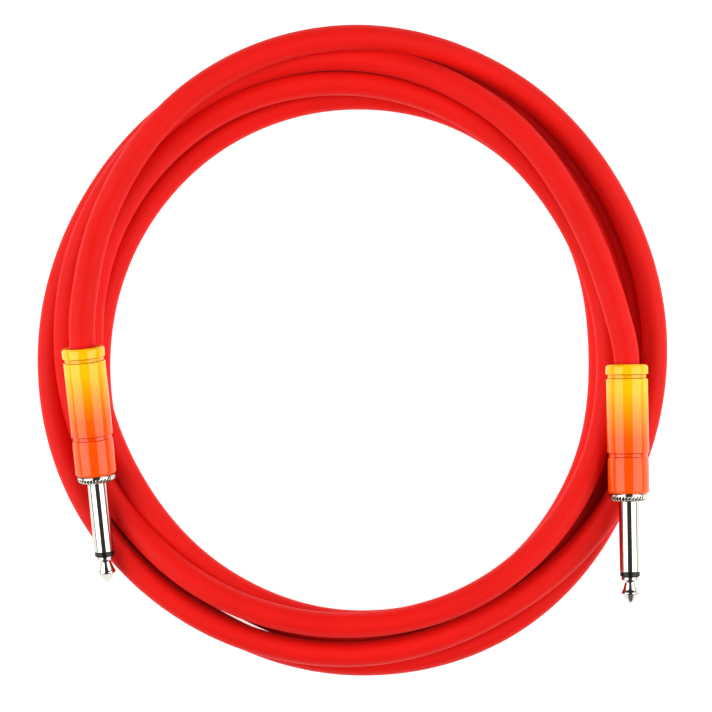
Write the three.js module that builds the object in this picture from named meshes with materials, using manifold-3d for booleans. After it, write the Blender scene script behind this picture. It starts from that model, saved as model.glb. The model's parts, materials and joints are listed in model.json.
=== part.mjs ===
// Instrument cable with a straight 6.35 mm mono plug on each end, laid in a round coil.
// Millimetres, +Z up. The coil lies on z = 0 around the origin, and the plugs lie on the coil.
import * as THREE from 'three';
import { mergeVertices } from 'three/addons/utils/BufferGeometryUtils.js';
import Module from 'manifold-3d';

const wasm = await Module();
wasm.setup();

// ---------- Driving dimensions ----------

const TOUCH_GAP = 0.3; // left between pieces that touch on the real object
const RUNNING_GAP = 0.25; // round pieces that slide past each other

// Cable and coil
const CABLE_DIAMETER = 8;
const COIL_HOLE_RADIUS = 75; // along Y
const COIL_OUTER_RADIUS = 103; // along Y
const COIL_HEIGHT = 15; // two layers of turns, the upper one in the valleys of the lower one
const COIL_WIDTH_TO_LENGTH = 0.966; // the coil is a little narrower along X

// Plug: the front end that goes into a jack
const JACK_DIAMETER = 6.35;
const SLEEVE_LENGTH = 21.8; // shoulder to insulating ring
const RING_LENGTH = 1.6; // black insulating ring, with its gaps
const TIP_LENGTH = 7.6;
const NECK_RADIUS = 1.85;
const BULB_INSET = 0.075; // how far the bulb stays inside the sleeve's outline
const ROD_RADIUS = 1.2;
const ROD_HEAD_RADIUS = 2;
const INSULATOR_WALL = 0.65;

// Plug: the knurled collar and the thread behind it
const COLLAR_RIM = 0.6; // how far the collar stands out past the thread
const COLLAR_LENGTH = 1.9;
const COLLAR_DOME = 1.25; // width of the rounded rim round the flat shoulder
const THREAD_LENGTH = 5.6; // the shell comes off after five turns of a 1 mm pitch

// Shell
const SHELL_WALL = 0.88;
const SHELL_REAR_BAND_LENGTH = 3.3;
const SHELL_REAR_BAND_RISE = 0.12; // how far the rear band stands proud of the body
const SHELL_BODY_LENGTH = 23.6;
const SHELL_FRONT_LENGTH = 11.2;
const SHELL_FRONT_DROP = 0.1; // how far the front section is below the body
const SHELL_REAR_WALL = 1.5;
const GROOVE_WIDTH = 1.1;
const GROOVE_DEPTH = 0.42;
const EDGE_RADIUS = 0.45;
const REAR_EDGE_RADIUS = 1.1;
const CABLE_HOLE_CLEARANCE = 0.4;

// Solder terminals behind the thread
const LUG_THICKNESS = 0.8;
const LUG_STRIP_WIDTH = 3.6;
const LUG_STRIP_LAP = 0.1; // how far the strip laps into the clamp's wall
const LUG_STRIP_THICKNESS = 0.6;
const WASHER_THICKNESS = 1;
const TIP_LUG_THICKNESS = 0.6;
const TIP_LUG_RADIUS = 3;
const TIP_LUG_WIDTH = 2.6;
const TIP_LUG_LENGTH = 6.8;
const CLAMP_LENGTH = 8.5;
const CLAMP_OVERHANG = 1.5; // clamp ahead of the jacket's cut end
const CLAMP_WALL = 0.5;
const CLAMP_CLEARANCE = 0.2; // round the jacket
const CLAMP_MOUTH = 60; // degrees left open at the top of the clamp
const SLEEVE_TUBE_WALL = 0.4;

// Stripped cable end
const JACKET_TO_THREAD = 16.5; // cut end of the jacket behind the thread
const CORE_RADIUS = 1.3;
const CORE_LIFT = 0.2; // the core sits a little above the axis
const CORE_LENGTH = 4.2;
const CONDUCTIVE_LAYER_WALL = 0.35;
const CONDUCTIVE_LAYER_LENGTH = 1.6;
const CONDUCTOR_RADIUS = 0.45;
const PIGTAIL_RADIUS = 0.6;
const PIGTAIL_LENGTH = 7.4;
const SOLDER_RADIUS = 0.8;

// Places on the coil: [angle in degrees about +Z from +X, distance in from the coil's outer rim]

// Where each plug's shoulder lies, the way its tip points, and how far the tip droops
const PLUGS = [
  { side: 'right', shoulder: [-28.6, 4.96], heading: 0.9, droop: 0 },
  { side: 'left', shoulder: [207.34, 13.73], heading: 5.3, droop: 8 },
];
const LEAD_STRAIGHT = 7; // straight cable behind the shell, for the shell to slide over

// The cable from each plug down onto the coil, by hand: a place on the coil, and the height
// above where the cable rests on it
const LEAD_POINTS = {
  right: [
    [10, 20.3, 1.9],
    [15, 20.8, 1.1],
    [20, 21, 0.4],
    [30, 20.5, 0],
    [35.5, 20.3, 0],
  ],
  left: [
    [170, 19, 8.7],
    [165, 18.3, 8],
    [160, 17.2, 6.5],
    [155, 16.2, 4.6],
    [150, 15, 2.7],
    [145, 13.8, 1.1],
    [140, 12.6, 0.2],
    [135, 11.2, 0],
    [130, 9.9, 0],
  ],
};

// ---------- Sizes that follow ----------

const CABLE_RADIUS = CABLE_DIAMETER / 2;
const LEAD_REST_HEIGHT = COIL_HEIGHT + TOUCH_GAP + CABLE_RADIUS;
const JACK_RADIUS = JACK_DIAMETER / 2;
const BULB_RADIUS = JACK_RADIUS - BULB_INSET;
const INSULATOR_BORE_RADIUS = ROD_RADIUS + TOUCH_GAP;
const INSULATOR_RADIUS = INSULATOR_BORE_RADIUS + INSULATOR_WALL;
const SLEEVE_BORE_RADIUS = INSULATOR_RADIUS + TOUCH_GAP;

// From the jacket outwards: clamp, insulating sleeve, shell
const CABLE_HOLE_RADIUS = CABLE_RADIUS + CABLE_HOLE_CLEARANCE;
const CLAMP_RADIUS = CABLE_RADIUS + CLAMP_CLEARANCE + CLAMP_WALL;
const TUBE_BORE_RADIUS = CLAMP_RADIUS + RUNNING_GAP;
const TUBE_OUTER_RADIUS = TUBE_BORE_RADIUS + SLEEVE_TUBE_WALL;
const SHELL_BORE_RADIUS = TUBE_OUTER_RADIUS + TOUCH_GAP;
const SHELL_RADIUS = SHELL_BORE_RADIUS + SHELL_WALL;
const SHELL_LENGTH = SHELL_FRONT_LENGTH + SHELL_BODY_LENGTH + SHELL_REAR_BAND_LENGTH + 2 * GROOVE_WIDTH;
const THREAD_RADIUS = SHELL_BORE_RADIUS - TOUCH_GAP;
const COLLAR_RADIUS = THREAD_RADIUS + COLLAR_RIM;
const SHOULDER_RADIUS = COLLAR_RADIUS - COLLAR_DOME;
const LUG_RADIUS = CLAMP_RADIUS;
const LUG_STRIP_DROP = CLAMP_RADIUS - CLAMP_WALL - LUG_STRIP_THICKNESS + LUG_STRIP_LAP;
const WASHER_RADIUS = LUG_STRIP_DROP - TOUCH_GAP;

// Stations along the plug's axis: 0 is the shoulder, the tip is ahead, the cable is behind
const RING_START = SLEEVE_LENGTH;
const TIP_START = RING_START + RING_LENGTH;
const JACK_END = TIP_START + TIP_LENGTH;
const SHELL_FRONT = -COLLAR_LENGTH - TOUCH_GAP;
const SHELL_REAR = SHELL_FRONT - SHELL_LENGTH;
const THREAD_END = -COLLAR_LENGTH - THREAD_LENGTH;
const LUG_FRONT = THREAD_END - TOUCH_GAP;
const WASHER_FRONT = LUG_FRONT - LUG_THICKNESS - TOUCH_GAP;
const TIP_LUG_FRONT = WASHER_FRONT - WASHER_THICKNESS - TOUCH_GAP;
const ROD_HEAD_FRONT = TIP_LUG_FRONT - TIP_LUG_THICKNESS - TOUCH_GAP;
const ROD_HEAD_REAR = ROD_HEAD_FRONT - LUG_THICKNESS;
const TIP_SOLDER_CENTRE = ROD_HEAD_REAR - TOUCH_GAP - SOLDER_RADIUS;
const JACKET_END = THREAD_END - JACKET_TO_THREAD;
const CLAMP_FRONT = JACKET_END + CLAMP_OVERHANG;
const CORE_REAR = JACKET_END + TOUCH_GAP;
const CORE_FRONT = CORE_REAR + CORE_LENGTH;
const PIGTAIL_FRONT = CORE_REAR + PIGTAIL_LENGTH;
const GROUND_SOLDER_CENTRE = PIGTAIL_FRONT + TOUCH_GAP + SOLDER_RADIUS;

// ---------- Finishes ----------

const finish = (color, roughness, metalness) =>
  new THREE.MeshStandardMaterial({ color, roughness, metalness });
const RED_JACKET = finish(0xe02028, 0.45, 0);
const ORANGE_PAINT = finish(0xff9416, 0.25, 0.2);
const NICKEL = finish(0xcfcbc4, 0.2, 1);
const BRASS = finish(0xc9a45a, 0.3, 1);
const COPPER = finish(0xb87245, 0.35, 1);
const TIN = finish(0xb9bbbd, 0.35, 1);
const BLACK_PLASTIC = finish(0x17171a, 0.5, 0);
const BROWN_BOARD = finish(0x7a4a26, 0.7, 0);
const WHITE_PLASTIC = finish(0xf0eee6, 0.5, 0);
const CLEAR_PLASTIC = finish(0xe6ebee, 0.2, 0);

// ---------- Geometry helpers ----------

// Points of an arc, as [radius, station], from one angle to another in degrees
function arc(centre, radius, from, to, steps = 3) {
  return Array.from({ length: steps + 1 }, (_, i) => {
    const angle = THREE.MathUtils.degToRad(from + ((to - from) * i) / steps);
    return [centre[0] + radius * Math.cos(angle), centre[1] + radius * Math.sin(angle)];
  });
}

// A turned piece about local Z, from [radius, station] points listed from front to rear
function turned(profile, segments = 32) {
  const points = profile.map(([radius, station]) => new THREE.Vector2(radius, station));
  return new THREE.LatheGeometry(points.reverse(), segments).rotateX(Math.PI / 2);
}

// A turned tube: its profile closes on itself
const turnedTube = (profile, segments) => turned([...profile, profile[0]], segments);

// A plain tube between two stations
function tube(innerRadius, outerRadius, front, rear, segments) {
  const profile = [[innerRadius, front], [outerRadius, front], [outerRadius, rear], [innerRadius, rear]];
  return turnedTube(profile, segments);
}

// A plain rod between two stations
const rod = (radius, front, rear, segments) =>
  turned([[0, front], [radius, front], [radius, rear], [0, rear]], segments);

// A round section swept along a curve
function swept(curve, radius, steps, sides) {
  const ring = Array.from({ length: sides }, (_, i) => {
    const angle = (2 * Math.PI * i) / sides;
    return new THREE.Vector2(radius * Math.cos(angle), radius * Math.sin(angle));
  });
  return new THREE.ExtrudeGeometry(new THREE.Shape(ring), { steps, extrudePath: curve });
}

// A box from its lowest and highest corners
function block(low, high) {
  const size = high.map((value, i) => value - low[i]);
  const middle = high.map((value, i) => (value + low[i]) / 2);
  return new THREE.BoxGeometry(...size).translate(...middle);
}

function toSolid(geometry) {
  const bare = geometry.index ? geometry.clone() : geometry;
  bare.deleteAttribute('normal');
  bare.deleteAttribute('uv');
  const merged = mergeVertices(bare);
  return new wasm.Manifold(new wasm.Mesh({
    numProp: 3,
    vertProperties: merged.attributes.position.array,
    triVerts: new Uint32Array(merged.index.array),
  }));
}

// Joins pieces into one body
function joined(...geometries) {
  const mesh = geometries.map(toSolid).reduce((whole, next) => whole.add(next)).getMesh();
  const geometry = new THREE.BufferGeometry();
  geometry.setAttribute('position', new THREE.BufferAttribute(new Float32Array(mesh.vertProperties), 3));
  geometry.setIndex(new THREE.BufferAttribute(new Uint32Array(mesh.triVerts), 1));
  geometry.computeVertexNormals();
  return geometry;
}

// ---------- Plug pieces, about local Z with the tip ahead ----------

function tipContact() {
  return turned([
    [0, JACK_END],
    [0.55, JACK_END - 0.15],
    [2.5, TIP_START + 5],
    [BULB_RADIUS - 0.1, TIP_START + 4.4],
    [BULB_RADIUS, TIP_START + 4],
    [BULB_RADIUS - 0.35, TIP_START + 3.3],
    [NECK_RADIUS, TIP_START + 1.9],
    [NECK_RADIUS, TIP_START + 1.3],
    [BULB_RADIUS - 0.4, TIP_START + 0.8],
    [BULB_RADIUS - 0.4, TIP_START],
    [ROD_RADIUS, TIP_START],
    [ROD_RADIUS, ROD_HEAD_FRONT],
    [ROD_HEAD_RADIUS, ROD_HEAD_FRONT],
    [ROD_HEAD_RADIUS - 0.5, ROD_HEAD_REAR],
    [0, ROD_HEAD_REAR],
  ], 24);
}

function tipInsulator() {
  const ringFront = TIP_START - TOUCH_GAP;
  const ringRear = RING_START + TOUCH_GAP;
  return turnedTube([
    [INSULATOR_BORE_RADIUS, ringFront],
    [JACK_RADIUS - 0.05, ringFront],
    [JACK_RADIUS - 0.05, ringRear],
    [INSULATOR_RADIUS, ringRear],
    [INSULATOR_RADIUS, WASHER_FRONT + TOUCH_GAP],
    [INSULATOR_BORE_RADIUS, WASHER_FRONT + TOUCH_GAP],
  ], 24);
}

function plugSleeve() {
  return turnedTube([
    [SLEEVE_BORE_RADIUS, SLEEVE_LENGTH],
    [JACK_RADIUS - 0.15, SLEEVE_LENGTH],
    [JACK_RADIUS, SLEEVE_LENGTH - 0.15],
    [JACK_RADIUS, 0],
    [SHOULDER_RADIUS, 0],
    [COLLAR_RADIUS - 0.35, -COLLAR_LENGTH * 0.35],
    [COLLAR_RADIUS, -COLLAR_LENGTH * 0.6],
    [COLLAR_RADIUS, -COLLAR_LENGTH],
    [THREAD_RADIUS, -COLLAR_LENGTH],
    [THREAD_RADIUS, THREAD_END + EDGE_RADIUS],
    [THREAD_RADIUS - EDGE_RADIUS, THREAD_END],
    [SLEEVE_BORE_RADIUS, THREAD_END],
  ]);
}

function groundLug() {
  const half = LUG_STRIP_WIDTH / 2;
  const eyelet = tube(SLEEVE_BORE_RADIUS, LUG_RADIUS, LUG_FRONT, LUG_FRONT - LUG_THICKNESS, 24);
  const strip = block(
    [-half, -LUG_STRIP_DROP - LUG_STRIP_THICKNESS, JACKET_END + TOUCH_GAP],
    [half, -LUG_STRIP_DROP, LUG_FRONT - 0.1],
  );
  return joined(eyelet, strip, cableClamp());
}

// A strip bent round the jacket, open at the top
function cableClamp() {
  const open = THREE.MathUtils.degToRad(CLAMP_MOUTH / 2);
  const [start, end] = [Math.PI / 2 + open, Math.PI * 2.5 - open];
  const outline = new THREE.Shape();
  outline.absarc(0, 0, CLAMP_RADIUS, start, end, false);
  outline.absarc(0, 0, CLAMP_RADIUS - CLAMP_WALL, end, start, true);
  const settings = { depth: CLAMP_LENGTH, bevelEnabled: false, curveSegments: 16 };
  return new THREE.ExtrudeGeometry(outline, settings).translate(0, 0, CLAMP_FRONT - CLAMP_LENGTH);
}

function tipLug() {
  const half = TIP_LUG_WIDTH / 2;
  const eyelet = tube(
    INSULATOR_BORE_RADIUS, TIP_LUG_RADIUS, TIP_LUG_FRONT, TIP_LUG_FRONT - TIP_LUG_THICKNESS, 20);
  const tongue = block(
    [-half, TIP_LUG_RADIUS - TIP_LUG_THICKNESS, TIP_LUG_FRONT - TIP_LUG_LENGTH],
    [half, TIP_LUG_RADIUS, TIP_LUG_FRONT - 0.1],
  );
  return joined(eyelet, tongue);
}

const insulatingWasher = () =>
  tube(INSULATOR_BORE_RADIUS, WASHER_RADIUS, WASHER_FRONT, WASHER_FRONT - WASHER_THICKNESS, 24);

const insulatingSleeve = () => tube(
  TUBE_BORE_RADIUS, TUBE_OUTER_RADIUS, THREAD_END - TOUCH_GAP,
  SHELL_REAR + SHELL_REAR_WALL + TOUCH_GAP, 28);

// A rounded groove across the outside of the shell, from front to rear
const groove = (radius, front) => [
  [radius, front],
  [radius - GROOVE_DEPTH, front - GROOVE_WIDTH * 0.3],
  [radius - GROOVE_DEPTH, front - GROOVE_WIDTH * 0.7],
  [radius, front - GROOVE_WIDTH],
];

function shell() {
  const frontRadius = SHELL_RADIUS - SHELL_FRONT_DROP;
  const rearRadius = SHELL_RADIUS + SHELL_REAR_BAND_RISE;
  const frontGroove = SHELL_FRONT - SHELL_FRONT_LENGTH;
  const rearGroove = frontGroove - GROOVE_WIDTH - SHELL_BODY_LENGTH;
  const rearWall = SHELL_REAR + SHELL_REAR_WALL;
  return turnedTube([
    [SHELL_BORE_RADIUS, SHELL_FRONT],
    ...arc([frontRadius - EDGE_RADIUS, SHELL_FRONT - EDGE_RADIUS], EDGE_RADIUS, 90, 0, 2),
    [frontRadius, frontGroove + 3 * EDGE_RADIUS],
    [frontRadius - GROOVE_DEPTH / 2, frontGroove + EDGE_RADIUS],
    ...groove(SHELL_RADIUS, frontGroove).slice(1),
    ...groove(SHELL_RADIUS, rearGroove).slice(0, 3),
    [rearRadius, rearGroove - GROOVE_WIDTH],
    ...arc([rearRadius - REAR_EDGE_RADIUS, SHELL_REAR + REAR_EDGE_RADIUS], REAR_EDGE_RADIUS, 0, -90, 3),
    [CABLE_HOLE_RADIUS, SHELL_REAR],
    [CABLE_HOLE_RADIUS, rearWall],
    [SHELL_BORE_RADIUS, rearWall],
  ]);
}

// ---------- Stripped cable end ----------

const coreInsulation = () => rod(CORE_RADIUS, CORE_FRONT, CORE_REAR, 12).translate(0, CORE_LIFT, 0);

function conductiveLayer() {
  const bore = CORE_RADIUS + TOUCH_GAP;
  const front = CORE_REAR + CONDUCTIVE_LAYER_LENGTH;
  return tube(bore, bore + CONDUCTIVE_LAYER_WALL, front, CORE_REAR, 12).translate(0, CORE_LIFT, 0);
}

// Bare strands from the core up to the solder under the tip lug
function coreConductor() {
  const [rear, front] = [CORE_FRONT + TOUCH_GAP, TIP_SOLDER_CENTRE - SOLDER_RADIUS - TOUCH_GAP];
  const lugHeight = TIP_LUG_RADIUS - TIP_LUG_THICKNESS - TOUCH_GAP - SOLDER_RADIUS;
  const curve = new THREE.CubicBezierCurve3(
    new THREE.Vector3(0, CORE_LIFT, rear),
    new THREE.Vector3(0, CORE_LIFT, (rear + front) / 2),
    new THREE.Vector3(0, lugHeight, (rear + front) / 2),
    new THREE.Vector3(0, lugHeight, front),
  );
  return swept(curve, CONDUCTOR_RADIUS, 6, 8);
}

// The screen's strands twisted together along the ground lug
const pigtailDrop = LUG_STRIP_DROP - TOUCH_GAP - PIGTAIL_RADIUS;
const shieldPigtail = () =>
  rod(PIGTAIL_RADIUS, PIGTAIL_FRONT, CORE_REAR, 10).translate(0, -pigtailDrop, 0);

const solderBall = (height, station) =>
  new THREE.SphereGeometry(SOLDER_RADIUS, 12, 8).translate(0, height, station);
const tipSolder = () =>
  solderBall(TIP_LUG_RADIUS - TIP_LUG_THICKNESS - TOUCH_GAP - SOLDER_RADIUS, TIP_SOLDER_CENTRE);
const groundSolder = () =>
  solderBall(-(LUG_STRIP_DROP - TOUCH_GAP - SOLDER_RADIUS), GROUND_SOLDER_CENTRE);

// ---------- Cable ----------

// The outer shape of the coil: a flat ring with corners as round as the cable
function cableCoil() {
  const r = CABLE_RADIUS;
  const [inner, outer] = [COIL_HOLE_RADIUS + r, COIL_OUTER_RADIUS - r];
  const profile = [
    ...arc([outer, COIL_HEIGHT - r], r, 90, 0),
    ...arc([outer, r], r, 0, -90),
    ...arc([inner, r], r, -90, -180),
    ...arc([inner, COIL_HEIGHT - r], r, 180, 90),
  ];
  return turnedTube(profile, 72).scale(COIL_WIDTH_TO_LENGTH, 1, 1);
}

// A point over the coil
function overCoil([angle, inset], height) {
  const [turn, radius] = [THREE.MathUtils.degToRad(angle), COIL_OUTER_RADIUS - inset];
  return new THREE.Vector3(radius * Math.cos(turn), radius * Math.sin(turn), height);
}

// The cable from its clamp in the plug, straight out of the shell and down onto the coil
function lead(plug, points) {
  const stations = [0, 0.35, 0.7, 1].map(
    (share) => THREE.MathUtils.lerp(JACKET_END, SHELL_REAR - LEAD_STRAIGHT, share));
  const straight = stations.map((station) => plug.localToWorld(new THREE.Vector3(0, 0, station)));
  const laid = points.map(([angle, inset, rise]) => overCoil([angle, inset], LEAD_REST_HEIGHT + rise));
  const curve = new THREE.CatmullRomCurve3([...straight, ...laid]);
  const steps = Math.round(curve.getLength() / (2.2 * CABLE_DIAMETER)) * 2;
  return swept(curve, CABLE_RADIUS, steps, 12);
}

// ---------- Assembly ----------

const named = (name, geometry, material) => {
  const mesh = new THREE.Mesh(geometry, material);
  mesh.name = name;
  return mesh;
};

// A plug's group: local +Z runs out of the tip, local +Y is up
function plugFrame({ shoulder, heading, droop }) {
  const [turn, fall] = [heading, droop].map(THREE.MathUtils.degToRad);
  const forward = new THREE.Vector3(
    Math.sin(turn) * Math.cos(fall), -Math.cos(turn) * Math.cos(fall), -Math.sin(fall));
  const across = new THREE.Vector3(0, 0, 1).cross(forward).normalize();
  const up = new THREE.Vector3().crossVectors(forward, across);
  const frame = new THREE.Group();
  frame.quaternion.setFromRotationMatrix(new THREE.Matrix4().makeBasis(across, up, forward));
  // A level plug rests on its rear band, and a drooping one on the front edge of its shell
  const levelHeight = SHELL_RADIUS + SHELL_REAR_BAND_RISE;
  const frontHeight = (SHELL_RADIUS - SHELL_FRONT_DROP) * Math.cos(fall) + SHELL_FRONT * Math.sin(fall);
  const height = COIL_HEIGHT + TOUCH_GAP + (droop > 0 ? frontHeight : levelHeight);
  frame.position.copy(overCoil(shoulder, height));
  frame.updateMatrixWorld(true);
  return frame;
}

const instrumentCable = new THREE.Group();
instrumentCable.add(named('cable_coil', cableCoil(), RED_JACKET));

for (const placing of PLUGS) {
  const { side } = placing;
  const plug = plugFrame(placing);
  plug.add(
    named(`${side}_plug_sleeve`, plugSleeve(), NICKEL),
    named(`${side}_tip_contact`, tipContact(), NICKEL),
    named(`${side}_tip_insulator`, tipInsulator(), BLACK_PLASTIC),
    named(`${side}_ground_lug`, groundLug(), BRASS),
    named(`${side}_insulating_washer`, insulatingWasher(), BROWN_BOARD),
    named(`${side}_tip_lug`, tipLug(), BRASS),
    named(`${side}_insulating_sleeve`, insulatingSleeve(), CLEAR_PLASTIC),
    named(`${side}_shell`, shell(), ORANGE_PAINT),
    named(`${side}_core_insulation`, coreInsulation(), WHITE_PLASTIC),
    named(`${side}_conductive_layer`, conductiveLayer(), BLACK_PLASTIC),
    named(`${side}_core_conductor`, coreConductor(), COPPER),
    named(`${side}_shield_pigtail`, shieldPigtail(), COPPER),
    named(`${side}_tip_solder`, tipSolder(), TIN),
    named(`${side}_ground_solder`, groundSolder(), TIN),
  );
  instrumentCable.add(plug);
  instrumentCable.add(named(`${side}_lead`, lead(plug, LEAD_POINTS[side]), RED_JACKET));
}

export default instrumentCable;
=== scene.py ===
"""Instrument cable: one red cable in a flat coil, with a straight screw-on plug on each end."""

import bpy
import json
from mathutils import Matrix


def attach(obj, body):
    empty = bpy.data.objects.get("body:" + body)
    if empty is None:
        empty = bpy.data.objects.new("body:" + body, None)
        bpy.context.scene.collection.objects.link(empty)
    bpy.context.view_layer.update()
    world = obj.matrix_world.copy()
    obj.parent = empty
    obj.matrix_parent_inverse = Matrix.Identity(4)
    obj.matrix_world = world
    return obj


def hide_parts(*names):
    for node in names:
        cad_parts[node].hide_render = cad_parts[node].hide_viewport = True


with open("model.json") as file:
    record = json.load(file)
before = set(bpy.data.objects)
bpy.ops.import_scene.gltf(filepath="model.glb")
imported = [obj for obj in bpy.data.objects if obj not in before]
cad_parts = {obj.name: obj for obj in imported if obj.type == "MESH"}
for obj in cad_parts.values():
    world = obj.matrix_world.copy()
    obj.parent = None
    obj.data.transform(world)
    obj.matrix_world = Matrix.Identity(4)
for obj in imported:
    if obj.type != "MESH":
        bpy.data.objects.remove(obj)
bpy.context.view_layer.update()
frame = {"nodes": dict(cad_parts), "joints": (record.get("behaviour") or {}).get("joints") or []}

import json
import math

import bmesh
import bpy
from bpy.props import FloatProperty, FloatVectorProperty, IntProperty, PointerProperty
from mathutils import Matrix, Vector

bl_info = {
    "name": "Instrument Cable",
    "version": (1, 0, 0),
    "blender": (4, 5, 0),
    "location": "3D View > Sidebar > Cable",
    "description": "Builds a coiled instrument cable with two straight screw-on plugs",
    "category": "Object",
}

MM = 0.001
SIDES = ("right", "left")
CABLE_BODY = "cable"

# ---------- The lay of the coil ----------
# Radius and height of the cable's middle in mm, every 30 degrees anticlockwise from the right plug,
# one row a turn. The order of the heights says which strand lies on which.
TURN_STEP = 30
TURN_RADII = (
    82.6, 82.1, 87.2, 91.4, 92.6, 91.6, 89.6, 88.4, 87.2, 86.0, 85.6, 83.5,
    80.6, 79.4, 81.2, 83.9, 85.6, 84.7, 82.1, 80.8, 83.1, 86.0, 86.6, 82.7,
    79.0, 80.4, 81.4, 80.3, 79.6, 79.4, 80.6, 83.8, 87.2, 91.2, 91.4, 88.6,
    84.8, 85.4, 87.5, 88.0, 87.6, 87.4, 89.0, 93.0, 96.2, 99.3, 100.1, 96.2,
    90.6, 90.8, 93.0, 95.9, 94.9, 93.9, 95.2, 96.7, 96.7, 95.8, 94.2, 95.3,
    95.3, 95.4, 97.4, 97.4, 94.2, 88.0, 83.4,
)
TURN_HEIGHTS = (
    22.0, 20.5, 18.5, 15.0, 14.5, 15.0, 14.0, 11.0, 17.5, 17.2, 16.8, 15.5,
    12.0, 12.0, 13.0, 12.0, 11.3, 11.1, 11.6, 11.2, 10.8, 9.8, 9.6, 8.2,
    4.0, 4.0, 4.0, 4.0, 4.0, 4.0, 4.0, 4.0, 4.0, 4.0, 4.0, 4.0,
    5.8, 6.2, 7.0, 5.5, 4.0, 4.0, 4.0, 4.0, 4.0, 4.0, 4.0, 4.0,
    4.0, 4.0, 4.0, 4.5, 5.6, 8.2, 9.0, 10.8, 11.5, 11.3, 11.3, 11.3,
    11.0, 11.0, 12.0, 19.5, 22.0, 22.0, 27.0,
)
POINT_STEP = 5                 # degrees between the points of the coil
COIL_START, COIL_END = 15, 1950  # where the coil meets the two leads, in degrees
STRAND_GAP = 0.95              # middle to middle of strands that press on each other, in diameters
STRAND_ORDER = 4.2             # least difference in height that makes one strand lie on the other, mm
SETTLING_SWEEPS = 3
SETTLING_PASSES = 4            # in each sweep, before the heights are smoothed

# The leads from the plugs to the coil, each point as degrees, radius and height. The right lead's first
# point stays in the unscrewed shell's hole.
RIGHT_LEAD = ((-0.8, 85.18, 22.0), (3.0, 84.31, 22.0), (7.0, 83.27, 22.0), (11.0, 82.57, 22.0))
LEFT_LEAD = ((1957, 86.5, 24.3), (1966, 84.6, 27.2), (1974, 83.8, 28.0))

# ---------- The plugs ----------
# Plug space is in mm, with Z towards the tip and 0 at the collar's face. A station is a place on Z.
PIN_END = 22.0
COLLAR_FACE_RADIUS = 4.75
COLLAR_FRONT = -0.04
DOME_REAR = -1.55
DOME_LENGTH = 1.5
COLLAR_REAR = -2.15
THREAD_RADIUS = 5.35
THREAD_END = -7.5
THREAD_PITCH = 1.0
THREAD_DEPTH = 0.4
SLEEVE_BORE = 2.45             # radius of the hole through collar, pin and thread
SHELL_FRONT = -2.4
SHELL_REAR = -42.5
SHELL_BORE = 5.65              # radius inside the shell
HOLE_CLEARANCE = 0.4           # between the cable and the hole in the shell's rear
HOLE_FLARE = 0.6
HOLE_LENGTH = 1.5
FRONT_GROOVE = -13.5           # front edge of each groove
REAR_GROOVE = -37.9
KNURL_TWIST = 2.4              # how fast the cuts run round the collar, in radians of their pattern a mm
JACKET_STATIONS = (-24.0, -30.0, -36.0, -42.0)  # the straight stretch of cable in each plug

# Steps round each turned piece
PIN_STEPS = 96
STEPS_A_KNURL = 8
THREAD_STEPS = 48
TIP_STEPS = 72
SHELL_STEPS = 112

# ---------- The stage, in metres ----------
CAMERA_X, CAMERA_Y = 0.00126, -0.0019
SENSOR_WIDTH = 36              # millimetres
SOFTBOX_X, SOFTBOX_Z = 0.935, 0.757
SOFTBOX_SIZE = (1.7, 1.17)
FILL_Z = 1.4
FILL_SIZE = (1.1, 1.1)
FLOOR_HALF_SIZE = 8
FLOOR_GLOW = 0.68
WORLD_LOW, WORLD_HIGH = 0.3, 0.07  # grey at the horizon and overhead
WORLD_FADE_END = 0.3               # how far up, as a share, the world reaches its overhead grey
VIEW_GAMMA, VIEW_EXPOSURE = 0.85, 0.15


def between(values, place):
    """Value on a smooth line through evenly spaced values."""
    first = min(int(place), len(values) - 2)
    share = place - first
    last = len(values) - 1
    before, start, end, after = (values[min(max(first + k, 0), last)] for k in (-1, 0, 1, 2))
    return 0.5 * (2 * start + (end - before) * share
                  + (2 * before - 5 * start + 4 * end - after) * share ** 2
                  + (3 * start - before - 3 * end + after) * share ** 3)


def coil_points(cable_radius):
    """Points round the coil. A strand that lies on others is raised until it rests on them."""
    gap = STRAND_GAP * 2 * cable_radius
    angles = list(range(0, COIL_END + 1, POINT_STEP))
    radii = [between(TURN_RADII, angle / TURN_STEP) for angle in angles]
    planned = [max(cable_radius, between(TURN_HEIGHTS, angle / TURN_STEP)) for angle in angles]
    heights = list(planned)
    turn = 360 // POINT_STEP
    for _sweep in range(SETTLING_SWEEPS):
        for _pass in range(SETTLING_PASSES):
            for upper in range(len(angles)):
                for lower in range(upper % turn, len(angles), turn):
                    apart = abs(radii[upper] - radii[lower])
                    if planned[upper] - planned[lower] > STRAND_ORDER and apart < gap:
                        rest = heights[lower] + math.sqrt(gap ** 2 - apart ** 2)
                        heights[upper] = max(heights[upper], rest)
        heights[1:-1] = [max(cable_radius, (a + 2 * b + c) / 4)
                         for a, b, c in zip(heights, heights[1:], heights[2:])]
    return [round_coil(*place) for place in zip(angles, radii, heights) if place[0] >= COIL_START]


def round_coil(angle, radius, height):
    """Point at an angle in degrees, a radius and a height in mm."""
    turned = math.radians(angle)
    return Vector((radius * math.cos(turned), radius * math.sin(turned), height)) * MM


# ---------- Where the plugs are ----------

def plug_matrix(side):
    """From plug space to the frame's metres."""
    turn = next(joint for joint in frame["joints"] if joint["name"] == side + "_shell_turn")
    forward = -Vector(turn["axis"]).normalized()
    up = (Vector((0, 0, 1)) - forward * forward.z).normalized()
    across = up.cross(forward)
    axes = Matrix((across, up, forward)).transposed().to_4x4()
    return Matrix.Translation(Vector(turn["pos_m"])) @ axes @ Matrix.Scale(MM, 4)


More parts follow.
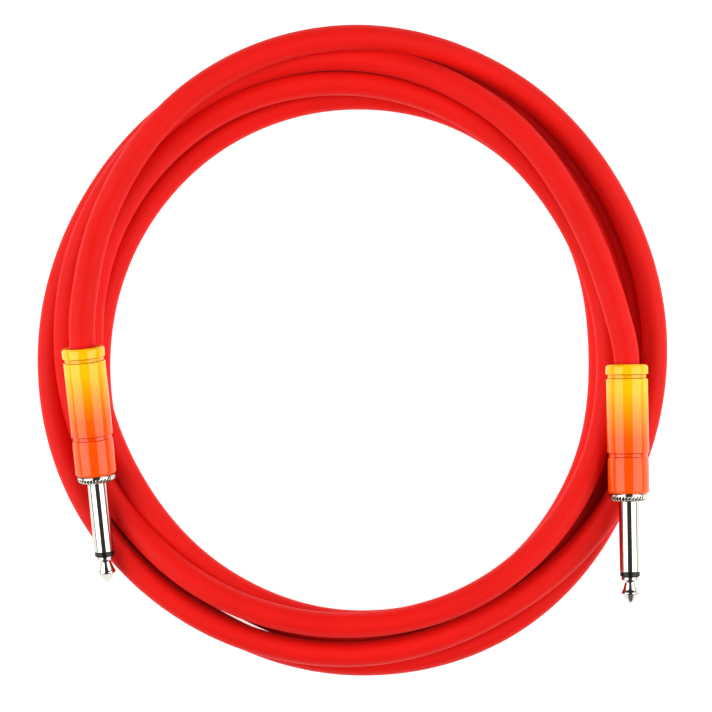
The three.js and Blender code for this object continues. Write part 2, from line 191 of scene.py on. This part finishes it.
def cable_route(cable_radius):
    """The cable's middle line, from inside the right plug to inside the left plug."""
    right, left = (plug_matrix(side) for side in SIDES)
    start = [right @ Vector((0, 0, station)) for station in JACKET_STATIONS]
    end = [left @ Vector((0, 0, station)) for station in reversed(JACKET_STATIONS)]
    leads = [[round_coil(*place) for place in lead] for lead in (RIGHT_LEAD, LEFT_LEAD)]
    return start + leads[0] + coil_points(cable_radius) + leads[1] + end


# ---------- Modelling helpers ----------

def add_object(name, data, material):
    """Object at the origin, with its material."""
    piece = bpy.data.objects.new(name, data)
    bpy.context.scene.collection.objects.link(piece)
    data.materials.append(material)
    return piece


def arc(centre, radius, start, end, steps=5):
    """Points of an arc in a profile, given as (radius, station), angles in degrees."""
    angles = [math.radians(start + (end - start) * k / steps) for k in range(steps + 1)]
    return [(centre[0] + radius * math.cos(a), centre[1] + radius * math.sin(a)) for a in angles]


def turned(profile, steps, closed=True):
    """A bmesh turned on Z from a profile of (radius, station) points."""
    bm = bmesh.new()
    points = [bm.verts.new((radius, 0, station)) for radius, station in profile]
    edges = [bm.edges.new(pair) for pair in zip(points, points[1:])]
    if closed:
        edges.append(bm.edges.new((points[-1], points[0])))
    bmesh.ops.spin(bm, geom=points + edges, cent=(0, 0, 0), axis=(0, 0, 1),
                   angle=math.tau, steps=steps, use_merge=True)
    bmesh.ops.remove_doubles(bm, verts=bm.verts, dist=0.0005)
    bmesh.ops.recalc_face_normals(bm, faces=bm.faces)
    return bm


def finish_piece(name, bm, side, body, material, nodes, smooth_angle=35):
    """Moves a turned bmesh to its plug, makes it an object and puts it on its body."""
    station = bm.verts.layers.float.new("station")
    for vert in bm.verts:
        vert[station] = vert.co.z
    bmesh.ops.transform(bm, matrix=plug_matrix(side), verts=bm.verts)
    bmesh.ops.recalc_face_normals(bm, faces=bm.faces)
    limit = math.radians(smooth_angle)
    for face in bm.faces:
        face.smooth = True
    for edge in bm.edges:
        edge.smooth = len(edge.link_faces) == 2 and edge.calc_face_angle(0) < limit
    mesh = bpy.data.meshes.new(side + "_" + name)
    bm.to_mesh(mesh)
    bm.free()
    piece = add_object(side + "_" + name, mesh, material)
    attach(piece, body)
    if nodes:
        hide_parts(*[side + "_" + node for node in nodes])
    return piece


# ---------- Materials ----------

def new_node(nodes, kind, **values):
    node = nodes.new(kind)
    for name, value in values.items():
        setattr(node, name, value)
    return node


def grain_group():
    """Fine grain on Object coordinates: a mask that runs from Low to High."""
    name = "fine_grain"
    if name in bpy.data.node_groups:
        return bpy.data.node_groups[name]
    group = bpy.data.node_groups.new(name, "ShaderNodeTree")
    for label, default in (("Scale", 1000.0), ("Detail", 2.0), ("Low", 0.0), ("High", 1.0)):
        socket = group.interface.new_socket(label, in_out="INPUT", socket_type="NodeSocketFloat")
        socket.default_value = default
    group.interface.new_socket("Mask", in_out="OUTPUT", socket_type="NodeSocketFloat")
    nodes, links = group.nodes, group.links
    given, out = nodes.new("NodeGroupInput"), nodes.new("NodeGroupOutput")
    place = nodes.new("ShaderNodeTexCoord")
    noise = nodes.new("ShaderNodeTexNoise")
    spread = nodes.new("ShaderNodeMapRange")
    spread.inputs["From Min"].default_value = 0.3
    spread.inputs["From Max"].default_value = 0.7
    links.new(place.outputs["Object"], noise.inputs["Vector"])
    links.new(given.outputs["Scale"], noise.inputs["Scale"])
    links.new(given.outputs["Detail"], noise.inputs["Detail"])
    links.new(noise.outputs["Fac"], spread.inputs["Value"])
    links.new(given.outputs["Low"], spread.inputs["To Min"])
    links.new(given.outputs["High"], spread.inputs["To Max"])
    links.new(spread.outputs["Result"], out.inputs["Mask"])
    return group


def add_grain(nodes, scale, low, high, detail=2.0):
    """Places the grain group in a material, and returns its mask."""
    node = new_node(nodes, "ShaderNodeGroup", node_tree=grain_group())
    for label, value in (("Scale", scale), ("Detail", detail), ("Low", low), ("High", high)):
        node.inputs[label].default_value = value
    return node.outputs["Mask"]


def make_material(name, base, rough, metal=0.0, tint=0.9, grain=60.0, bump_scale=1500.0,
                  bump_height=0.00002, **shader_values):
    """Surface with a slightly varied colour, a varied gloss and a fine bump."""
    if name in bpy.data.materials:
        return bpy.data.materials[name]
    material = bpy.data.materials.new(name)
    material.use_nodes = True
    nodes, links = material.node_tree.nodes, material.node_tree.links
    shader = nodes["Principled BSDF"]
    shader.inputs["Metallic"].default_value = metal
    for label, value in shader_values.items():
        shader.inputs[label.replace("_", " ")].default_value = value
    mix = new_node(nodes, "ShaderNodeMix", data_type="RGBA")
    mix.inputs["A"].default_value = (*[channel * tint for channel in base], 1)
    mix.inputs["B"].default_value = (*base, 1)
    links.new(add_grain(nodes, grain, 0, 1), mix.inputs["Factor"])
    links.new(mix.outputs["Result"], shader.inputs["Base Color"])
    links.new(add_grain(nodes, grain * 4, *rough), shader.inputs["Roughness"])
    bump = nodes.new("ShaderNodeBump")
    bump.inputs["Distance"].default_value = bump_height
    links.new(add_grain(nodes, bump_scale, 0, 1), bump.inputs["Height"])
    links.new(bump.outputs["Normal"], shader.inputs["Normal"])
    return material


def shell_paint(colours):
    """Gloss paint that fades along the shell, from its rear band to its front edge, with painted shade in
    its grooves.
    """
    name = "faded_gloss_paint"
    if name in bpy.data.materials:
        return bpy.data.materials[name]
    material = make_material(name, tuple(colours.shell_middle), (0.10, 0.16), grain=90.0,
                             bump_scale=500.0, bump_height=0.000006,
                             Coat_Weight=0.2, Coat_Roughness=0.05)
    nodes, links = material.node_tree.nodes, material.node_tree.links
    shader = nodes["Principled BSDF"]
    station = new_node(nodes, "ShaderNodeAttribute", attribute_name="station")
    place = nodes.new("ShaderNodeMapRange")
    place.inputs["From Min"].default_value = SHELL_REAR
    place.inputs["From Max"].default_value = SHELL_FRONT
    fade = nodes.new("ShaderNodeValToRGB")
    ramp = fade.color_ramp
    stops = ((0.20, colours.shell_rear), (0.36, colours.shell_upper), (0.56, colours.shell_middle),
             (0.70, colours.shell_front))
    while len(ramp.elements) < len(stops):
        ramp.elements.new(0.5)
    for element, (position, colour) in zip(ramp.elements, stops):
        element.position = position
        element.color = (*colour, 1)
    links.new(station.outputs["Fac"], place.inputs["Value"])
    links.new(place.outputs["Result"], fade.inputs["Fac"])
    # Painted shade: the paint is darkened in the two grooves, most along their lips
    recess = new_node(nodes, "ShaderNodeAttribute", attribute_name="recess")
    shaded_paint = new_node(nodes, "ShaderNodeMix", data_type="RGBA", blend_type="MULTIPLY")
    shaded_paint.inputs["B"].default_value = (0.62, 0.34, 0.25, 1)
    links.new(recess.outputs["Fac"], shaded_paint.inputs["Factor"])
    links.new(fade.outputs["Color"], shaded_paint.inputs["A"])
    links.new(shaded_paint.outputs["Result"], shader.inputs["Base Color"])
    return material


def nickel():
    return make_material("polished_nickel", (0.67, 0.645, 0.595), (0.05, 0.10), metal=1.0, tint=0.96,
                         grain=120.0, bump_scale=900.0, bump_height=0.000003)


def knurled_nickel():
    """Nickel with painted shade in the cuts of the knurling."""
    name = "knurled_nickel"
    if name in bpy.data.materials:
        return bpy.data.materials[name]
    material = make_material(name, (0.70, 0.66, 0.59), (0.06, 0.12), metal=1.0, grain=200.0)
    nodes, links = material.node_tree.nodes, material.node_tree.links
    shader = nodes["Principled BSDF"]
    unshaded = shader.inputs["Base Color"].links[0].from_socket
    # Painted shade: the colour goes near black where the knurl cuts are deepest
    cut = new_node(nodes, "ShaderNodeAttribute", attribute_name="cut")
    knurl_shade = new_node(nodes, "ShaderNodeMix", data_type="RGBA")
    knurl_shade.inputs["B"].default_value = (0.06, 0.055, 0.045, 1)
    links.new(cut.outputs["Fac"], knurl_shade.inputs["Factor"])
    links.new(unshaded, knurl_shade.inputs["A"])
    links.new(knurl_shade.outputs["Result"], shader.inputs["Base Color"])
    return material


def black_plastic():
    return make_material("moulded_black", (0.014, 0.011, 0.010), (0.20, 0.30), grain=200.0)


# ---------- Settings ----------

def length_property(name, description, millimetres):
    return FloatProperty(name=name, description=description, default=millimetres * MM, min=0,
                         unit="LENGTH", precision=5)


def colour_property(name, description, colour):
    return FloatVectorProperty(name=name, description=description, default=colour, size=3, min=0, max=1,
                               subtype="COLOR")


def half(diameter):
    """Radius in mm from a diameter in metres."""
    return diameter / (2 * MM)


class CableSizes(bpy.types.PropertyGroup):
    """Sizes of the cable and its plugs."""
    cable: length_property("Cable diameter", "Across the jacket", 8.0)
    pin: length_property("Pin diameter", "Across the plug's pin", 6.35)
    collar: length_property("Collar diameter", "Across the knurled collar", 11.9)
    knurl_depth: length_property("Knurl depth", "Depth of the collar's cuts", 0.35)
    knurl_count: IntProperty(name="Knurl count", description="Cuts round the collar", default=34, min=3)
    shell_front: length_property("Shell front", "Across the shell ahead of its front groove", 12.86)
    shell_body: length_property("Shell body", "Across the shell between its grooves", 13.06)
    shell_band: length_property("Shell band", "Across the shell behind its rear groove", 13.3)
    groove_width: length_property("Groove width", "Width of the shell's two grooves", 1.5)
    groove_depth: length_property("Groove depth", "Depth of the shell's two grooves", 0.5)


class CableColours(bpy.types.PropertyGroup):
    """Colours of the cable and its plugs."""
    jacket: colour_property("Jacket", "Colour of the cable jacket", (0.80, 0.012, 0.0075))
    shell_rear: colour_property("Shell rear", "Paint at the cable end of a shell", (0.95, 0.57, 0.0))
    shell_upper: colour_property("Shell upper", "Paint a third of the way along", (0.95, 0.37, 0.0))
    shell_middle: colour_property("Shell middle", "Paint halfway along a shell", (0.95, 0.155, 0.0))
    shell_front: colour_property("Shell front", "Paint at the plug end of a shell", (0.95, 0.112, 0.0))


class CableStage(bpy.types.PropertyGroup):
    """Camera and light."""
    camera_height: FloatProperty(name="Camera height", description="Height of the camera over the floor",
                                 default=0.85, unit="LENGTH")
    lens: FloatProperty(name="Lens", description="Focal length in millimetres", default=134.7,
                        unit="CAMERA")
    softbox: FloatProperty(name="Softbox brightness", description="Radiance of each softbox", default=2.4)
    fill: FloatProperty(name="Fill brightness", description="Radiance of the light overhead", default=0.5)


class CABLE_OT_camera(bpy.types.Operator):
    """Camera straight above the coil"""
    bl_idname = "cable.camera"
    bl_label = "Camera"

    def execute(self, context):
        stage = context.scene.cable_stage
        camera = bpy.data.objects.new("camera", bpy.data.cameras.new("camera"))
        context.scene.collection.objects.link(camera)
        camera.location = (CAMERA_X, CAMERA_Y, stage.camera_height)
        camera.data.lens = stage.lens
        camera.data.sensor_width = SENSOR_WIDTH
        context.scene.camera = camera
        return {"FINISHED"}


class CABLE_OT_jacket(bpy.types.Operator):
    """The cable in its jacket, from plug to plug"""
    bl_idname = "cable.jacket"
    bl_label = "Cable jacket"

    def execute(self, context):
        colours = context.scene.cable_colours
        cable_radius = half(context.scene.cable_sizes.cable)
        route = cable_route(cable_radius)
        curve = bpy.data.curves.new("cable_jacket", "CURVE")
        curve.dimensions = "3D"
        curve.bevel_depth = cable_radius * MM
        curve.bevel_resolution = 6
        curve.resolution_u = 3
        curve.use_fill_caps = True
        spline = curve.splines.new("BEZIER")
        spline.bezier_points.add(len(route) - 1)
        for point, place in zip(spline.bezier_points, route):
            point.co = place
            point.handle_left_type = point.handle_right_type = "AUTO"
        material = make_material("red_jacket", tuple(colours.jacket), (0.50, 0.60), tint=0.94,
                                 grain=40.0, bump_scale=2500.0, bump_height=0.00001,
                                 Specular_IOR_Level=0.22, Sheen_Weight=0.05, Sheen_Roughness=0.4)
        jacket = add_object("cable_jacket", curve, material)
        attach(jacket, CABLE_BODY)
        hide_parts("cable_coil", "right_lead", "left_lead")
        return {"FINISHED"}


class CABLE_OT_pins(bpy.types.Operator):
    """Polished pin, knurled collar and thread of each plug"""
    bl_idname = "cable.pins"
    bl_label = "Pins, collars and threads"

    def execute(self, context):
        sizes = context.scene.cable_sizes
        for side in SIDES:
            self.pin(side, half(sizes.pin))
            self.collar(side, sizes)
            self.thread(side)
        return {"FINISHED"}

    def pin(self, side, radius):
        edge = 0.18
        profile = [(SLEEVE_BORE, PIN_END), *arc((radius - edge, PIN_END - edge), edge, 90, 0),
                   *arc((radius + 0.25, 0.2), 0.25, 180, 270, 4), (radius + 0.25, -0.6),
                   (SLEEVE_BORE, -0.6)]
        bm = turned(profile, PIN_STEPS)
        finish_piece("pin", bm, side, CABLE_BODY, nickel(), ["plug_sleeve"])

    def collar(self, side, sizes):
        """A domed collar cut with slanting knurls, and a smooth rim next to the shell."""
        rows = 10
        front, rear = 0.12, math.pi / 2  # the dome's slope at each end, in radians
        inner, face, outer = half(sizes.pin) + 0.1, COLLAR_FACE_RADIUS, half(sizes.collar)
        count, depth = sizes.knurl_count, sizes.knurl_depth / MM
        slopes = [front + (rear - front) * k / rows for k in range(rows + 1)]
        dome = [(face + (outer - face) * math.sin(slope), DOME_REAR + DOME_LENGTH * math.cos(slope))
                for slope in slopes]
        profile = [(inner, COLLAR_FRONT), (face - 0.05, COLLAR_FRONT), *dome, (outer, DOME_REAR - 0.05),
                   (outer, COLLAR_REAR + 0.05), (outer - 0.05, COLLAR_REAR), (inner, COLLAR_REAR)]
        bm = turned(profile, count * STEPS_A_KNURL)
        # Depth of each knurl cut, also kept on the vertices as the mask of painted shade in the cuts
        knurl_cut_and_shade = bm.verts.layers.float.new("cut")
        for vert in bm.verts:
            radius = vert.co.xy.length
            if radius > face + 0.15 and DOME_REAR - 0.02 < vert.co.z < -0.1:
                phase = count * math.atan2(vert.co.y, vert.co.x) - KNURL_TWIST * vert.co.z
                vert[knurl_cut_and_shade] = max(0.0, math.cos(phase)) ** 1.4
                vert.co.xy *= (radius - depth * vert[knurl_cut_and_shade]) / radius
        finish_piece("collar", bm, side, CABLE_BODY, knurled_nickel(), ["plug_sleeve"], 50)

    def thread(self, side):
        rows_a_turn = 8
        length = COLLAR_REAR - THREAD_END
        rows = round(length / THREAD_PITCH * rows_a_turn)
        profile = [(SLEEVE_BORE, COLLAR_REAR + 0.1), (THREAD_RADIUS - 0.3, COLLAR_REAR + 0.1),
                   *[(THREAD_RADIUS, COLLAR_REAR - length * k / rows) for k in range(rows + 1)],
                   (SLEEVE_BORE, THREAD_END)]
        bm = turned(profile, THREAD_STEPS)
        for vert in bm.verts:
            radius = vert.co.xy.length
            if radius > THREAD_RADIUS - 0.02:
                share = (vert.co.z / THREAD_PITCH + math.atan2(vert.co.y, vert.co.x) / math.tau) % 1
                cut = THREAD_DEPTH * min(1.0, 1.5 * abs(2 * share - 1))
                vert.co.xy *= (radius - cut) / radius
        finish_piece("thread", bm, side, CABLE_BODY, nickel(), ["plug_sleeve"], 50)


class CABLE_OT_tips(bpy.types.Operator):
    """Tip and insulating ring of each plug"""
    bl_idname = "cable.tips"
    bl_label = "Tips and rings"

    def execute(self, context):
        for side in SIDES:
            self.tip(side)
            self.ring(side)
        return {"FINISHED"}

    def tip(self, side):
        nose = [(0, 31.9), (0.3, 31.87), (0.58, 31.7), (1.1, 31.02), (1.62, 30.34), (2.16, 29.62)]
        neck = [(2.3, 27.4), (2.02, 26.5), (1.84, 25.9), (1.76, 25.5), (1.78, 25.2), (1.96, 24.95)]
        profile = [*nose, *arc((2.2, 28.6), 0.62, 48, -40, 6), *neck,
                   *arc((2.46, 24.4), 0.28, 80, 0, 3), *arc((2.46, 23.78), 0.28, 0, -90, 3),
                   (1.2, 23.5), (1.2, -11.1), (2.0, -11.1), (2.0, -11.7), (1.7, -11.9), (0, -11.9)]
        bm = turned(profile, TIP_STEPS, closed=False)
        finish_piece("tip", bm, side, CABLE_BODY, nickel(), ["tip_contact"], 50)

    def ring(self, side):
        profile = [(1.5, 23.4), *arc((2.98, 23.28), 0.12, 90, 0, 3), *arc((2.98, 22.22), 0.12, 0, -90, 3),
                   (2.15, 22.1), (2.15, -8.6), (1.5, -8.6)]
        bm = turned(profile, TIP_STEPS)
        finish_piece("tip_ring", bm, side, CABLE_BODY, black_plastic(), ["tip_insulator"])


class CABLE_OT_shells(bpy.types.Operator):
    """Painted screw-on shell of each plug"""
    bl_idname = "cable.shells"
    bl_label = "Shells"

    def execute(self, context):
        sizes = context.scene.cable_sizes
        paint = shell_paint(context.scene.cable_colours)
        width = sizes.groove_width / MM
        for side in SIDES:
            bm = turned(self.profile(sizes), SHELL_STEPS)
            # Mask of painted shade in the grooves: full along their lips, weaker on their floors
            recess = bm.verts.layers.float.new("recess")
            for vert in bm.verts:
                for front in (FRONT_GROOVE, REAR_GROOVE):
                    inside = front - vert.co.z
                    if 0.1 < inside < width - 0.1 and vert.co.xy.length > SHELL_BORE + 0.2:
                        vert[recess] = 1.0 if min(inside, width - inside) < 0.26 else 0.3
            finish_piece("painted_shell", bm, side, side + "_outer_shell", paint, ["shell"])
        return {"FINISHED"}

    @staticmethod
    def groove(front_radius, rear_radius, front, floor, width):
        """A turned groove with a flat floor and soft lips."""
        rear = front - width
        return [*arc((front_radius - 0.14, front + 0.08), 0.14, 0, -80, 4),
                (floor + 0.05, front - 0.14), (floor, front - 0.22), (floor, front - 0.34),
                (floor, rear + 0.34), (floor, rear + 0.22), (floor + 0.05, rear + 0.14),
                *arc((rear_radius - 0.14, rear - 0.08), 0.14, 80, 0, 4)]

    def profile(self, sizes):
        front_edge, rear_edge = 0.8, 1.1
        ahead, body, band = half(sizes.shell_front), half(sizes.shell_body), half(sizes.shell_band)
        floor, width = body - sizes.groove_depth / MM, sizes.groove_width / MM
        hole, ledge = half(sizes.cable) + HOLE_CLEARANCE, SHELL_REAR + HOLE_LENGTH
        outside = [*arc((ahead - front_edge, SHELL_FRONT - front_edge), front_edge, 90, 0, 6),
                   (ahead, FRONT_GROOVE + 2.0), (ahead - 0.02, FRONT_GROOVE + 1.4),
                   (ahead - 0.09, FRONT_GROOVE + 0.8),
                   *self.groove(ahead - 0.15, body, FRONT_GROOVE, floor, width),
                   (body, -20.0), (body, -30.0),
                   *self.groove(body, band, REAR_GROOVE, floor, width),
                   *arc((band - rear_edge, SHELL_REAR + rear_edge), rear_edge, 0, -90, 7)]
        inside = [(hole + HOLE_FLARE + 0.1, SHELL_REAR + 0.02), (hole + HOLE_FLARE, SHELL_REAR + 0.12),
                  (hole + 0.1, SHELL_REAR + 0.95), (hole, SHELL_REAR + 1.15), (hole, ledge),
                  (SHELL_BORE, ledge), (SHELL_BORE, SHELL_FRONT - 0.2),
                  (SHELL_BORE + 0.2, SHELL_FRONT)]
        return outside + inside


class CABLE_OT_cord(bpy.types.Operator):
    """Does nothing"""
    bl_idname = "cable.cord"
    bl_label = "Cord facts"

    def execute(self, context):
        return {"FINISHED"}


class CABLE_OT_inside(bpy.types.Operator):
    """Finishes of the pieces inside the shells"""
    bl_idname = "cable.inside"
    bl_label = "Inside pieces"

    def execute(self, context):
        finishes = {
            "nickel": nickel(),
            "black_plastic": black_plastic(),
            "brass": make_material("stamped_brass", (0.62, 0.42, 0.15), (0.18, 0.30), metal=1.0),
            "copper": make_material("bare_copper", (0.72, 0.30, 0.14), (0.22, 0.36), metal=1.0),
            "solder": make_material("soft_solder", (0.62, 0.63, 0.65), (0.25, 0.42), metal=1.0,
                                    bump_scale=500.0, bump_height=0.00006),
            "brown_board": make_material("phenolic_board", (0.16, 0.06, 0.02), (0.45, 0.6), tint=0.75,
                                         grain=250.0),
            "white_plastic": make_material("extruded_white", (0.78, 0.77, 0.72), (0.35, 0.5)),
            "clear_plastic": make_material("clear_tube", (0.93, 0.95, 0.95), (0.04, 0.1),
                                           Transmission_Weight=0.9, IOR=1.35),
        }
        for node in frame["nodes"].values():
            for slot in node.material_slots:
                for name, finish in finishes.items():
                    if slot.material and slot.material.name.startswith(name):
                        slot.material = finish
                        break
        return {"FINISHED"}


class CABLE_OT_stage(bpy.types.Operator):
    """Floor, softboxes and surroundings"""
    bl_idname = "cable.stage"
    bl_label = "Stage"

    def execute(self, context):
        scene = context.scene
        self.floor()
        for sign, name in ((1, "softbox_right"), (-1, "softbox_left")):
            place = Vector((sign * SOFTBOX_X, 0, SOFTBOX_Z))
            self.softbox(name, place, SOFTBOX_SIZE, scene.cable_stage.softbox)
        # Kept out of the reflections, so that the metal keeps its dark stripe
        fill = self.softbox("fill", Vector((0, 0, FILL_Z)), FILL_SIZE, scene.cable_stage.fill)
        fill.visible_glossy = False
        world = bpy.data.worlds.new("studio")
        world.use_nodes = True
        nodes, links = world.node_tree.nodes, world.node_tree.links
        background = nodes["Background"]
        direction = nodes.new("ShaderNodeTexCoord")
        upward = nodes.new("ShaderNodeSeparateXYZ")
        shade = nodes.new("ShaderNodeMapRange")
        shade.inputs["From Min"].default_value = 0
        shade.inputs["From Max"].default_value = WORLD_FADE_END
        shade.inputs["To Min"].default_value = WORLD_LOW
        shade.inputs["To Max"].default_value = WORLD_HIGH
        links.new(direction.outputs["Generated"], upward.inputs["Vector"])
        links.new(upward.outputs["Z"], shade.inputs["Value"])
        links.new(shade.outputs["Result"], background.inputs["Color"])
        scene.world = world
        scene.view_settings.view_transform = "Standard"
        scene.view_settings.gamma = VIEW_GAMMA
        scene.view_settings.exposure = VIEW_EXPOSURE
        return {"FINISHED"}

    def floor(self):
        bm = bmesh.new()
        bmesh.ops.create_grid(bm, x_segments=1, y_segments=1, size=FLOOR_HALF_SIZE)
        mesh = bpy.data.meshes.new("floor")
        bm.to_mesh(mesh)
        bm.free()
        material = make_material("pale_floor", (0.52, 0.52, 0.52), (0.7, 0.8), tint=1.0,
                                 Emission_Color=(1, 1, 1, 1), Emission_Strength=FLOOR_GLOW)
        floor = add_object("floor", mesh, material)

    def softbox(self, name, place, size, radiance):
        """A rectangular light that faces the middle of the floor."""
        light = bpy.data.lights.new(name, "AREA")
        light.shape = "RECTANGLE"
        light.size, light.size_y = size
        light.energy = radiance * math.pi * size[0] * size[1]
        lamp = bpy.data.objects.new(name, light)
        bpy.context.scene.collection.objects.link(lamp)
        lamp.location = place
        lamp.rotation_euler = place.to_track_quat("Z", "Y").to_euler()
        return lamp


class CABLE_PT_panel(bpy.types.Panel):
    """Lists the pieces of the cable"""
    bl_idname = "CABLE_PT_panel"
    bl_label = "Instrument Cable"
    bl_space_type = "VIEW_3D"
    bl_region_type = "UI"
    bl_category = "Cable"

    def draw(self, context):
        scene = context.scene
        for group in (scene.cable_sizes, scene.cable_colours, scene.cable_stage):
            for name in group.__annotations__:
                self.layout.prop(group, name)
        for operator in OPERATORS:
            self.layout.operator(operator.bl_idname)


OPERATORS = (CABLE_OT_camera, CABLE_OT_jacket, CABLE_OT_pins, CABLE_OT_tips, CABLE_OT_shells,
             CABLE_OT_cord, CABLE_OT_inside, CABLE_OT_stage)
CLASSES = (CableSizes, CableColours, CableStage, *OPERATORS, CABLE_PT_panel)


def register():
    for item in CLASSES:
        bpy.utils.register_class(item)
    bpy.types.Scene.cable_sizes = PointerProperty(type=CableSizes)
    bpy.types.Scene.cable_colours = PointerProperty(type=CableColours)
    bpy.types.Scene.cable_stage = PointerProperty(type=CableStage)


def unregister():
    del bpy.types.Scene.cable_stage
    del bpy.types.Scene.cable_colours
    del bpy.types.Scene.cable_sizes
    for item in reversed(CLASSES):
        bpy.utils.unregister_class(item)


def main():
    register()
    bpy.ops.cable.camera()
    bpy.ops.cable.jacket()
    bpy.ops.cable.pins()
    bpy.ops.cable.tips()
    bpy.ops.cable.shells()
    bpy.ops.cable.cord()
    bpy.ops.cable.inside()
    bpy.ops.cable.stage()


if __name__ == "__main__":
    main()
